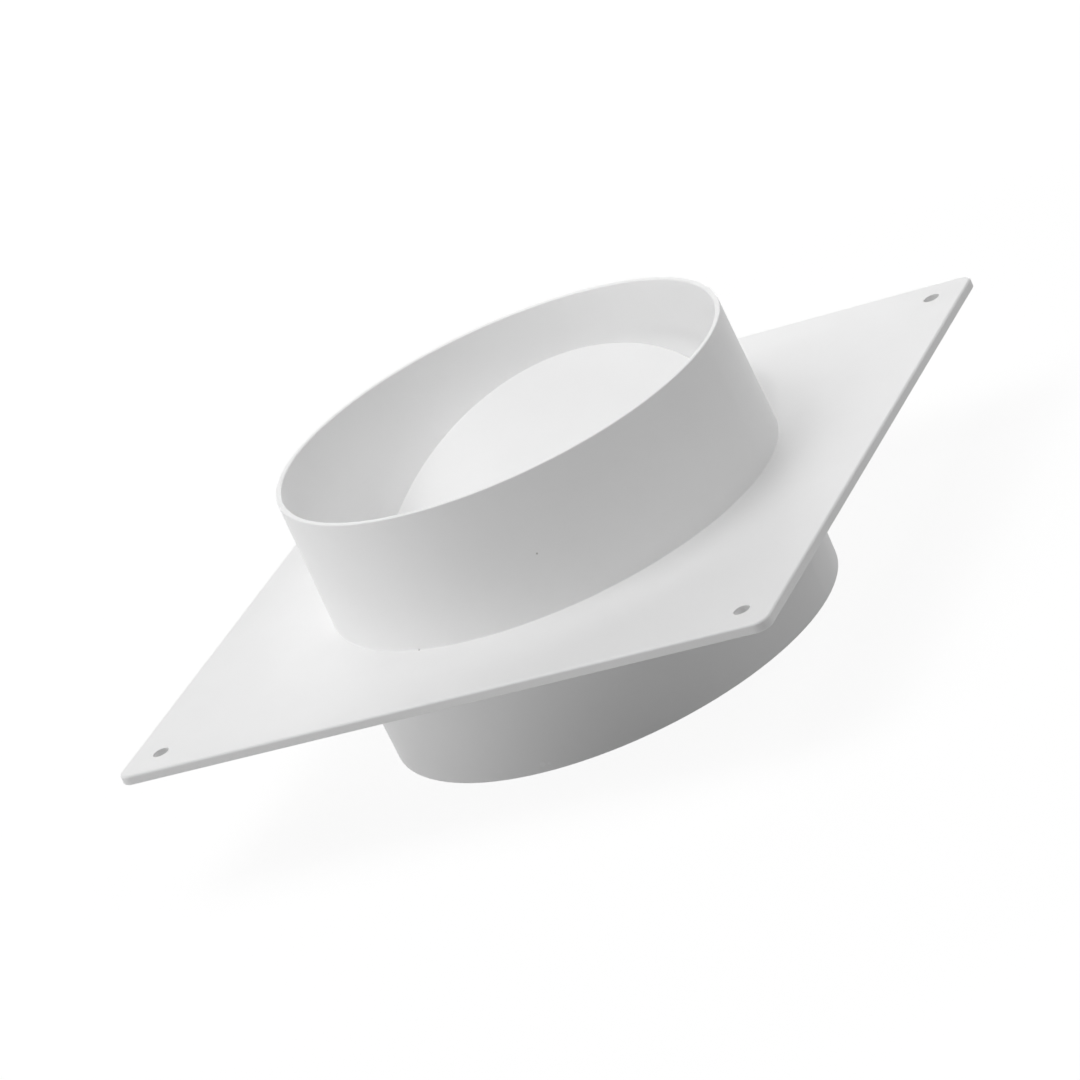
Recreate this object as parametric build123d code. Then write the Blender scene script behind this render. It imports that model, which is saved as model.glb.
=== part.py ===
from build123d import *
import os
from math import asin, atan2, cos, degrees, hypot, radians, sin, sqrt

# Backdraft wall vent, in millimetres.
# +Z runs along the duct, from the wall side to the room side, and +X along the flap's hinge.
# The vent stands on the rim of its rear spigot, and the origin is the centre of that rim.

# Wall plate
plate_side = 225.0
plate_thickness = 3.2
plate_corner_radius = 4.5
plate_front_edge_round = 0.8
plate_rear_edge_chamfer = 0.3
screw_inset = 11.5
screw_hole_diameter = 5.3

# Duct spigots: both take the same round duct, and taper towards their rims
duct_diameter = 150.0
front_spigot_height = 44.1
front_rim_undersize = 0.8
front_root_oversize = 1.0
rear_spigot_height = 44.7
rear_rim_oversize = 0.7
rear_root_oversize = 1.8
rim_wall = 1.7
front_rim_round = 0.4
front_rim_inner_chamfer = 0.3
rear_rim_chamfer = 0.3
root_chamfer = 0.2
throat_draft = 0.3

# Flap, pivoted off centre so that its larger side falls shut in a wall
flap_thickness = 1.5
flap_edge_chamfer = 0.3
hinge_offset = 11.8
hinge_rib_radius = 3.0
hinge_rib_end_gap = 1.6
pin_diameter = 4.0
pin_root_length = 4.0
pin_end_chamfer = 0.4

# Hinge lugs, seat lips and opening stops inside the throat
lug_wall = 2.44
socket_mouth_width = 3.4
lip_overlap = 3.0
lip_thickness = 2.0
full_opening = 80.0
stop_height = 10.0
stop_reach = 6.0
stop_foot_width = 3.5

# Clearances, and how deep the inner features are rooted in the wall
flap_edge_gap = 4.0
pin_radial_clearance = 0.06
pin_end_clearance = 0.3
lug_side_clearance = 0.4
rib_to_lip_clearance = 1.5
seat_clearance = 0.3
stop_clearance = 0.3
pin_to_stop_clearance = 0.6
standing_clearance = 0.1
wall_bite = 1.0

# Levels along the duct
plate_rear_z = rear_spigot_height
plate_front_z = plate_rear_z + plate_thickness
front_rim_z = plate_front_z + front_spigot_height
hinge_z = plate_rear_z + plate_thickness / 2

# Radii of the spigots, inside and outside
front_rim_radius = (duct_diameter - front_rim_undersize) / 2
front_root_radius = (duct_diameter + front_root_oversize) / 2
rear_rim_radius = (duct_diameter + rear_rim_oversize) / 2
rear_root_radius = (duct_diameter + rear_root_oversize) / 2
throat_radius = front_rim_radius - rim_wall - throat_draft
root_radius = throat_radius + wall_bite

# Flap and hinge sizes that follow
flap_radius = throat_radius - flap_edge_gap
half_flap = flap_thickness / 2
pin_radius = pin_diameter / 2
socket_radius = pin_radius + pin_radial_clearance
lug_half_width = socket_radius + lug_wall
lip_inner_radius = flap_radius - lip_overlap
lip_end_gap = hinge_rib_radius + rib_to_lip_clearance
lug_face_x = flap_radius + lug_side_clearance
stop_face_x = flap_radius - stop_reach
rib_half_length = sqrt(flap_radius**2 - hinge_offset**2) - hinge_rib_end_gap
socket_end_x = sqrt(throat_radius**2 - (hinge_offset + pin_radius) ** 2)
pin_end_x = socket_end_x - pin_end_clearance
hinge_axis = Axis((0, hinge_offset, hinge_z), (1, 0, 0))

# The flap has dropped open until its low edge all but meets the surface that the rear rim stands on
edge_reach = flap_radius + hinge_offset - flap_edge_chamfer
edge_drop = hinge_z - standing_clearance
rest_opening = degrees(asin(edge_drop / hypot(edge_reach, half_flap)) - atan2(half_flap, edge_reach))

# How near a level two edges are taken to lie at it
same_level = 0.01


def turned(points):
    """A solid of revolution about the duct's axis, from its half outline as (radius, z) points."""
    outline = Plane.XZ * Polyline(*points, close=True)
    return revolve(make_face(outline), Axis.Z)


def along_hinge(outline, x_start, x_end):
    """A sketch drawn in (y, z) about the hinge, extruded along it from x_start to x_end."""
    section = Plane(origin=(x_start, hinge_offset, hinge_z), x_dir=(0, 1, 0), z_dir=(1, 0, 0))
    return extrude(section * outline, x_end - x_start)


def rings_at(part, z):
    """The circular edges around the duct's axis that lie at one level."""
    circles = part.edges().filter_by(GeomType.CIRCLE)
    level = circles.filter_by_position(Axis.Z, z - same_level, z + same_level)
    return level.filter_by(lambda edge: hypot(edge.arc_center.X, edge.arc_center.Y) < same_level)


def plate_blank():
    """The square plate with rounded corners, a soft front edge and an almost crisp rear edge."""
    outline = RectangleRounded(plate_side, plate_side, plate_corner_radius)
    plate = Pos(0, 0, plate_rear_z) * extrude(outline, plate_thickness)
    plate = fillet(plate.faces().sort_by(Axis.Z)[-1].edges(), plate_front_edge_round)
    return chamfer(plate.faces().sort_by(Axis.Z)[0].edges(), plate_rear_edge_chamfer)


def screw_holes():
    """The four screw holes, one in each corner of the plate."""
    spacing = plate_side - 2 * screw_inset
    circles = Sketch() + GridLocations(spacing, spacing, 2, 2) * Circle(screw_hole_diameter / 2)
    return Pos(0, 0, plate_rear_z) * extrude(circles, plate_thickness)


def duct_body():
    """The plate with both tapered spigots, bored through, with its edges broken and its screw holes."""
    outside = turned(
        [
            (0, 0),
            (rear_rim_radius, 0),
            (rear_root_radius, plate_rear_z),
            (front_root_radius, plate_front_z),
            (front_rim_radius, front_rim_z),
            (0, front_rim_z),
        ]
    )
    bore = turned(
        [
            (0, 0),
            (rear_rim_radius - rim_wall, 0),
            (throat_radius, hinge_z),
            (front_rim_radius - rim_wall, front_rim_z),
            (0, front_rim_z),
        ]
    )
    body = plate_blank() + outside
    body = chamfer(rings_at(body, plate_front_z) + rings_at(body, plate_rear_z), root_chamfer)
    body -= bore
    body = chamfer(rings_at(body, front_rim_z).sort_by(SortBy.RADIUS)[0], front_rim_inner_chamfer)
    body = fillet(rings_at(body, front_rim_z).sort_by(SortBy.RADIUS)[-1], front_rim_round)
    body = chamfer(rings_at(body, 0), rear_rim_chamfer)
    return body - screw_holes()


def seat_lip(side):
    """Half a ring that the shut flap seats on: before its large side (-1) or behind its small one (+1)."""
    face_z = hinge_z - side * (half_flap + seat_clearance)
    ring = extrude(Circle(root_radius) - Circle(lip_inner_radius), -side * lip_thickness)
    half_y = hinge_offset + side * (lip_end_gap + plate_side / 2)
    half = Pos(0, half_y) * Box(plate_side, plate_side, front_rim_z)
    return Pos(0, 0, face_z) * (ring & half)


def hinge_lug():
    """The lug at the +X end of the hinge, with a round socket that opens rearwards as a snap mouth."""
    block = Rectangle(2 * lug_half_width, 2 * lug_half_width)
    mouth = Pos(0, -lug_half_width / 2) * Rectangle(socket_mouth_width, lug_half_width)
    socket = along_hinge(Circle(socket_radius) + mouth, lug_face_x, socket_end_x)
    return along_hinge(block, lug_face_x, root_radius) - socket


def opening_stop():
    """The rib at the +X end of the hinge whose sloped face stops the fully open flap."""
    turn = radians(full_opening)
    foot_z = half_flap + seat_clearance
    foot_y = -pin_radius - pin_to_stop_clearance
    back_y = foot_y - stop_foot_width
    slope_z = pin_radius + 2 * pin_to_stop_clearance

    def slope_y(z):
        return (cos(turn) * z - half_flap - stop_clearance) / sin(turn)

    outline = Polyline(
        (back_y, foot_z),
        (foot_y, foot_z),
        (foot_y, pin_radius + pin_to_stop_clearance),
        (slope_y(slope_z), slope_z),
        (slope_y(stop_height), stop_height),
        (back_y, stop_height),
        close=True,
    )
    return along_hinge(make_face(outline), stop_face_x, root_radius)


def wall_plate():
    """The whole moulding: plate, spigots, seat lips, hinge lugs and opening stops in one piece."""
    throat = Pos(0, 0, hinge_z) * Cylinder(root_radius, front_rim_z)
    hinge_end = (hinge_lug() + opening_stop()) & throat
    return duct_body() + hinge_end + mirror(hinge_end, Plane.YZ) + seat_lip(-1) + seat_lip(+1)


def backdraft_flap():
    """The flat round flap with a hinge rib behind it and a trunnion pin at each end, turned to its rest."""
    disc = Pos(0, 0, hinge_z - half_flap) * extrude(Circle(flap_radius), flap_thickness)
    disc = chamfer(disc.edges(), flap_edge_chamfer)
    rear_half = Pos(0, -hinge_rib_radius / 2) * Rectangle(2 * hinge_rib_radius, hinge_rib_radius)
    rib = along_hinge(Circle(hinge_rib_radius) & rear_half, -rib_half_length, rib_half_length)
    pin = along_hinge(Circle(pin_radius), rib_half_length - pin_root_length, pin_end_x)
    pin = chamfer(pin.edges().sort_by(Axis.X)[-1], pin_end_chamfer)
    shut = disc + rib + pin + mirror(pin, Plane.YZ)
    return shut.rotate(hinge_axis, rest_opening)


os.makedirs("parts", exist_ok=True)
export_step(wall_plate(), "parts/wall_plate.step")
export_step(backdraft_flap(), "parts/backdraft_flap.step")
print(f"flap at rest: {rest_opening:.2f} degrees open of {full_opening:.0f}")
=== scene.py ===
from math import cos, radians, sin

import bpy
from mathutils import Matrix, Vector


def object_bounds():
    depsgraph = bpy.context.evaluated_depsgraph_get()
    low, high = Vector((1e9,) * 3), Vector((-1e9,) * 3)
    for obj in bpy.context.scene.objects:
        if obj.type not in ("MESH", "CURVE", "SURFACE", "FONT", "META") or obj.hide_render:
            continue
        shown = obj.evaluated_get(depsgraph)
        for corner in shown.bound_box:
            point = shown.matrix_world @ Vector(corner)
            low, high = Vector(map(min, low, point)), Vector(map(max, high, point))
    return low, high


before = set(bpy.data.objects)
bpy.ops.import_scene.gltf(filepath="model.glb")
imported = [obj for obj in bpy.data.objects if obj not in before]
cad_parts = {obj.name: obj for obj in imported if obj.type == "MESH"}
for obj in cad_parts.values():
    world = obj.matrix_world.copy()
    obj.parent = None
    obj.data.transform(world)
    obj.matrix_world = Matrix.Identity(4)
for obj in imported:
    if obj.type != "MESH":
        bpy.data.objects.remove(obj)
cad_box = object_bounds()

# Camera, as fitted to the photograph: angles in degrees, lengths in metres, the lens in millimetres
VIEW_AZIMUTH = 30.06
VIEW_ELEVATION = 19.60
VIEW_ROLL = -25.44
VIEW_DISTANCE = 1.6407
VIEW_AIM = Vector((-0.0051, -0.0043, 0.0445))
VIEW_LENS = 176.55
SENSOR_WIDTH = 36.0

# White moulded plastic: linear colours of the body and of its small marks
PLASTIC_WHITE = (0.92, 0.92, 0.92, 1.0)
PLASTIC_DULL = (0.91, 0.91, 0.91, 1.0)
SPECK_GREY = (0.52, 0.51, 0.50, 1.0)
FLECK_GREY = (0.62, 0.61, 0.60, 1.0)
SCUFF_WHITE = (0.97, 0.97, 0.97, 1.0)
PLASTIC_IOR = 1.5

# Grain of the plastic: texture scales per metre, depths in metres
NOISE_RANGE = (0.35, 0.65)
NOISE_DETAIL = 3.0
MOTTLE_SCALE = 38.0
GLOSS_SCALE = 90.0
GLOSS_RANGE = (0.47, 0.51)
WAVE_SCALE = 22.0
WAVE_STRENGTH = 0.15
WAVE_DEPTH = 0.00015
GRAIN_SCALE = 1800.0
GRAIN_STRENGTH = 0.10
GRAIN_DEPTH = 0.00005
MARK_CORE = 0.5

# Places of the colour sockets on a mix node, which has sockets of the same names for other data
MIX_COLOUR_A, MIX_COLOUR_B, MIX_COLOUR_RESULT = 6, 7, 2

# Soft boxes: azimuth and elevation in degrees, width and height in metres, power in watts
LIGHT_DISTANCE = 1.6
SOFT_BOXES = {
    "top": {"azimuth": 0, "elevation": 87, "width": 1.2, "height": 1.2, "power": 6.3},
    "top_left": {"azimuth": -45, "elevation": 62, "width": 1.2, "height": 1.2, "power": 9.5},
    "back_left": {"azimuth": -150, "elevation": 35, "width": 1.2, "height": 1.2, "power": 3.8},
    "right": {"azimuth": 90, "elevation": 35, "width": 1.2, "height": 1.2, "power": 5.1},
    "low_left": {"azimuth": -60, "elevation": 7, "width": 1.2, "height": 0.4, "power": 6.9},
    "low_back": {"azimuth": 180, "elevation": 7, "width": 1.2, "height": 0.4, "power": 5.3},
}

# Soft-edged spot into the front spigot: angles in degrees, lengths in metres, power in watts
SPOT_CONE = 7.0
SPOT_BLEND = 1.0
SPOT_RADIUS = 0.10
MOUTH_SPOT = {"azimuth": 20, "elevation": 52, "aim": (-0.01, 0.05, 0.075), "power": 30.0}

# Strength of the even light that the background gives off, apart from the white that the camera sees
AMBIENT = 0.03

# Back-lit floor, with lengths in metres: it glows more in the middle, inside the rear rim
FLOOR_HALF_SIDE = 4.0
FLOOR_ALBEDO = 0.30
FLOOR_GLOW = 0.19
MIDDLE_GLOW = 0.95
MIDDLE_RADIUS = 0.07
FLOOR_WHITE = 0.90
FLOOR_SHADOW = 0.14
FAR_WHITE = 1.0
FADE_RANGE = (0.3, 1.2)


def on_sphere(azimuth, elevation, distance):
    """A step of some distance at an azimuth and elevation in degrees, azimuth 0 being towards -Y."""
    a, e = radians(azimuth), radians(elevation)
    return Vector((sin(a) * cos(e), -cos(a) * cos(e), sin(e))) * distance


def node_tree(owner):
    """An emptied node tree of a material or world."""
    owner.use_nodes = True
    owner.node_tree.nodes.clear()
    return owner.node_tree


def add_node(tree, kind, **values):
    """A new node with its properties or its input sockets set by name."""
    node = tree.nodes.new(kind)
    for name, value in values.items():
        if hasattr(node, name):
            setattr(node, name, value)
        else:
            node.inputs[name].default_value = value
    return node


def link(tree, start, end):
    """Joins an output socket to an input socket."""
    tree.links.new(start, end)


def remap(tree, value, old, new):
    """A value moved from the range old to the range new, and kept within it."""
    mapped = add_node(tree, "ShaderNodeMapRange")
    for name, limit in zip(("From Min", "From Max", "To Min", "To Max"), (*old, *new)):
        mapped.inputs[name].default_value = limit
    link(tree, value, mapped.inputs["Value"])
    return mapped.outputs["Result"]


def make_camera():
    """The camera at the photograph's angle, rolled as the picture is."""
    data = bpy.data.cameras.new("camera")
    data.lens = VIEW_LENS
    data.sensor_width = SENSOR_WIDTH
    camera = bpy.data.objects.new("camera", data)
    turn = Matrix.Rotation(radians(VIEW_AZIMUTH), 4, "Z")
    turn = turn @ Matrix.Rotation(radians(90 - VIEW_ELEVATION), 4, "X")
    turn = turn @ Matrix.Rotation(radians(VIEW_ROLL), 4, "Z")
    backwards = turn.to_3x3() @ Vector((0, 0, 1))
    camera.matrix_world = Matrix.Translation(VIEW_AIM + backwards * VIEW_DISTANCE) @ turn
    bpy.context.scene.collection.objects.link(camera)
    bpy.context.scene.camera = camera


def place_lamp(name, data, azimuth, elevation, target):
    """Sets a lamp at the light distance in one direction from a target, facing it."""
    lamp = bpy.data.objects.new(name, data)
    place = target + on_sphere(azimuth, elevation, LIGHT_DISTANCE)
    facing = (target - place).to_track_quat("-Z", "Y").to_matrix().to_4x4()
    lamp.matrix_world = Matrix.Translation(place) @ facing
    bpy.context.scene.collection.objects.link(lamp)


def make_soft_box(name, azimuth, elevation, width, height, power):
    """A rectangular area lamp that faces the vent's middle."""
    data = bpy.data.lights.new(name, "AREA")
    data.shape = "RECTANGLE"
    data.size = width
    data.size_y = height
    data.energy = power
    place_lamp(name, data, azimuth, elevation, VIEW_AIM)


def make_spot(name, azimuth, elevation, aim, power):
    """A spot lamp with a wholly soft edge, aimed at a point of the front spigot's inside."""
    data = bpy.data.lights.new(name, "SPOT")
    data.spot_size = radians(SPOT_CONE)
    data.spot_blend = SPOT_BLEND
    data.shadow_soft_size = SPOT_RADIUS
    data.energy = power
    place_lamp(name, data, azimuth, elevation, Vector(aim))


def seen_directly(tree):
    """1 for the camera's rays and for those mirrored or let through on their way, otherwise 0."""
    path = add_node(tree, "ShaderNodeLightPath")
    mirrored = add_node(tree, "ShaderNodeMath", operation="MAXIMUM")
    link(tree, path.outputs["Is Glossy Ray"], mirrored.inputs[0])
    link(tree, path.outputs["Is Transmission Ray"], mirrored.inputs[1])
    direct = add_node(tree, "ShaderNodeMath", operation="MAXIMUM")
    link(tree, path.outputs["Is Camera Ray"], direct.inputs[0])
    link(tree, mirrored.outputs[0], direct.inputs[1])
    return direct.outputs[0]


def make_world():
    """White to the camera and in reflections, and an even soft light otherwise."""
    world = bpy.data.worlds.new("studio")
    bpy.context.scene.world = world
    tree = node_tree(world)
    seen = add_node(tree, "ShaderNodeBackground", Color=(1, 1, 1, 1), Strength=1.0)
    ambient = add_node(tree, "ShaderNodeBackground", Color=(1, 1, 1, 1), Strength=AMBIENT)
    mix = add_node(tree, "ShaderNodeMixShader")
    link(tree, seen_directly(tree), mix.inputs[0])
    link(tree, ambient.outputs[0], mix.inputs[1])
    link(tree, seen.outputs[0], mix.inputs[2])
    output = add_node(tree, "ShaderNodeOutputWorld")
    link(tree, mix.outputs[0], output.inputs["Surface"])


def lit_surface(tree, albedo, glow):
    """A diffuse surface that also glows by itself, as a back-lit table does."""
    diffuse = add_node(tree, "ShaderNodeBsdfDiffuse", Color=(albedo, albedo, albedo, 1))
    emission = add_node(tree, "ShaderNodeEmission")
    link(tree, glow, emission.inputs["Strength"])
    both = add_node(tree, "ShaderNodeAddShader")
    link(tree, diffuse.outputs[0], both.inputs[0])
    link(tree, emission.outputs[0], both.inputs[1])
    return both.outputs[0]


def from_middle(tree):
    """How far a point of the floor lies from the vent's axis."""
    place = add_node(tree, "ShaderNodeTexCoord")
    reach = add_node(tree, "ShaderNodeVectorMath", operation="LENGTH")
    link(tree, place.outputs["Object"], reach.inputs[0])
    return reach.outputs["Value"]


def floor_glow(tree):
    """The strength of the floor's own light: higher in the middle, inside the rear rim."""
    inside = add_node(tree, "ShaderNodeMath", operation="LESS_THAN")
    link(tree, from_middle(tree), inside.inputs[0])
    inside.inputs[1].default_value = MIDDLE_RADIUS
    glow = add_node(tree, "ShaderNodeMath", operation="MULTIPLY_ADD")
    link(tree, inside.outputs[0], glow.inputs[0])
    glow.inputs[1].default_value = MIDDLE_GLOW - FLOOR_GLOW
    glow.inputs[2].default_value = FLOOR_GLOW
    return glow.outputs[0]


def floor_white(tree):
    """The white that the camera sees, which leaves room for a shadow near the vent alone."""
    return remap(tree, from_middle(tree), FADE_RANGE, (FLOOR_WHITE, FAR_WHITE))


def make_floor():
    """The back-lit floor under the rear rim: white to the camera, with a faint shadow of the vent."""
    material = bpy.data.materials.new("floor")
    tree = node_tree(material)
    mix = add_node(tree, "ShaderNodeMixShader")
    link(tree, seen_directly(tree), mix.inputs[0])
    link(tree, lit_surface(tree, FLOOR_ALBEDO, floor_glow(tree)), mix.inputs[1])
    link(tree, lit_surface(tree, FLOOR_SHADOW, floor_white(tree)), mix.inputs[2])
    output = add_node(tree, "ShaderNodeOutputMaterial")
    link(tree, mix.outputs[0], output.inputs["Surface"])
    side = FLOOR_HALF_SIDE
    level = cad_box[0][2]
    mesh = bpy.data.meshes.new("floor")
    corners = [(x * side, y * side, level) for x, y in ((-1, -1), (1, -1), (1, 1), (-1, 1))]
    mesh.from_pydata(corners, [], [(0, 1, 2, 3)])
    floor = bpy.data.objects.new("floor", mesh)
    floor.data.materials.append(material)
    bpy.context.scene.collection.objects.link(floor)


def noise(tree, place, scale):
    """The value of a noise texture in the vent's own frame, with a scale in features per metre."""
    texture = add_node(tree, "ShaderNodeTexNoise", Scale=scale, Detail=NOISE_DETAIL)
    link(tree, place.outputs["Object"], texture.inputs["Vector"])
    return texture.outputs["Fac"]


def blend_colours(tree, factor, first, second):
    """A mix of two colours, the first of which may be a socket."""
    mix = add_node(tree, "ShaderNodeMix", data_type="RGBA")
    link(tree, factor, mix.inputs[0])
    if isinstance(first, tuple):
        mix.inputs[MIX_COLOUR_A].default_value = first
    else:
        link(tree, first, mix.inputs[MIX_COLOUR_A])
    mix.inputs[MIX_COLOUR_B].default_value = second
    return mix.outputs[MIX_COLOUR_RESULT]


def near_point(tree, place, point, radius):
    """1 at a point of the vent's frame, falling to 0 at a radius from it."""
    gap = add_node(tree, "ShaderNodeVectorMath", operation="DISTANCE")
    link(tree, place.outputs["Object"], gap.inputs[0])
    gap.inputs[1].default_value = point
    return remap(tree, gap.outputs["Value"], (radius, radius * MARK_CORE), (0, 1))


def make_plastic(name, marks=()):
    """White satin plastic: slight mottling, uneven gloss, a shallow wave, a fine grain and marks."""
    material = bpy.data.materials.new(name)
    tree = node_tree(material)
    place = add_node(tree, "ShaderNodeTexCoord")
    mottle = remap(tree, noise(tree, place, MOTTLE_SCALE), NOISE_RANGE, (0, 1))
    colour = blend_colours(tree, mottle, PLASTIC_WHITE, PLASTIC_DULL)
    for point, radius, tint in marks:
        colour = blend_colours(tree, near_point(tree, place, point, radius), colour, tint)
    plastic = add_node(tree, "ShaderNodeBsdfPrincipled", IOR=PLASTIC_IOR)
    link(tree, colour, plastic.inputs["Base Color"])
    gloss = remap(tree, noise(tree, place, GLOSS_SCALE), NOISE_RANGE, GLOSS_RANGE)
    link(tree, gloss, plastic.inputs["Roughness"])
    wave = add_node(tree, "ShaderNodeBump", Strength=WAVE_STRENGTH, Distance=WAVE_DEPTH)
    link(tree, noise(tree, place, WAVE_SCALE), wave.inputs["Height"])
    grain = add_node(tree, "ShaderNodeBump", Strength=GRAIN_STRENGTH, Distance=GRAIN_DEPTH)
    link(tree, noise(tree, place, GRAIN_SCALE), grain.inputs["Height"])
    link(tree, wave.outputs["Normal"], grain.inputs["Normal"])
    link(tree, grain.outputs["Normal"], plastic.inputs["Normal"])
    output = add_node(tree, "ShaderNodeOutputMaterial")
    link(tree, plastic.outputs[0], output.inputs["Surface"])
    return material


def on_wall(angle, height, radius):
    """A point on a spigot's outside: an angle about the duct in degrees, height and radius in metres."""
    a = radians(angle)
    return Vector((radius * cos(a), radius * sin(a), height))


def dress(node, material):
    """Gives a CAD node its material."""
    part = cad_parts[node]
    part.data.materials.clear()
    part.data.materials.append(material)


# Small marks on the moulding: a place on a spigot, a radius in metres and a colour
MARKS = [
    (on_wall(-66.9, 0.0672, 0.0751), 0.0004, SPECK_GREY),
    (on_wall(-105.0, 0.0480, 0.0756), 0.0005, FLECK_GREY),
    (on_wall(-87.5, 0.0028, 0.0754), 0.0011, SCUFF_WHITE),
    (on_wall(-85.8, 0.0026, 0.0754), 0.0007, SCUFF_WHITE),
]

bpy.context.scene.view_settings.view_transform = "Standard"
make_camera()
make_world()
make_floor()
for name, values in SOFT_BOXES.items():
    make_soft_box(name, **values)
make_spot("mouth_spot", **MOUTH_SPOT)
dress("wall_plate", make_plastic("plate_plastic", MARKS))
dress("backdraft_flap", make_plastic("flap_plastic"))
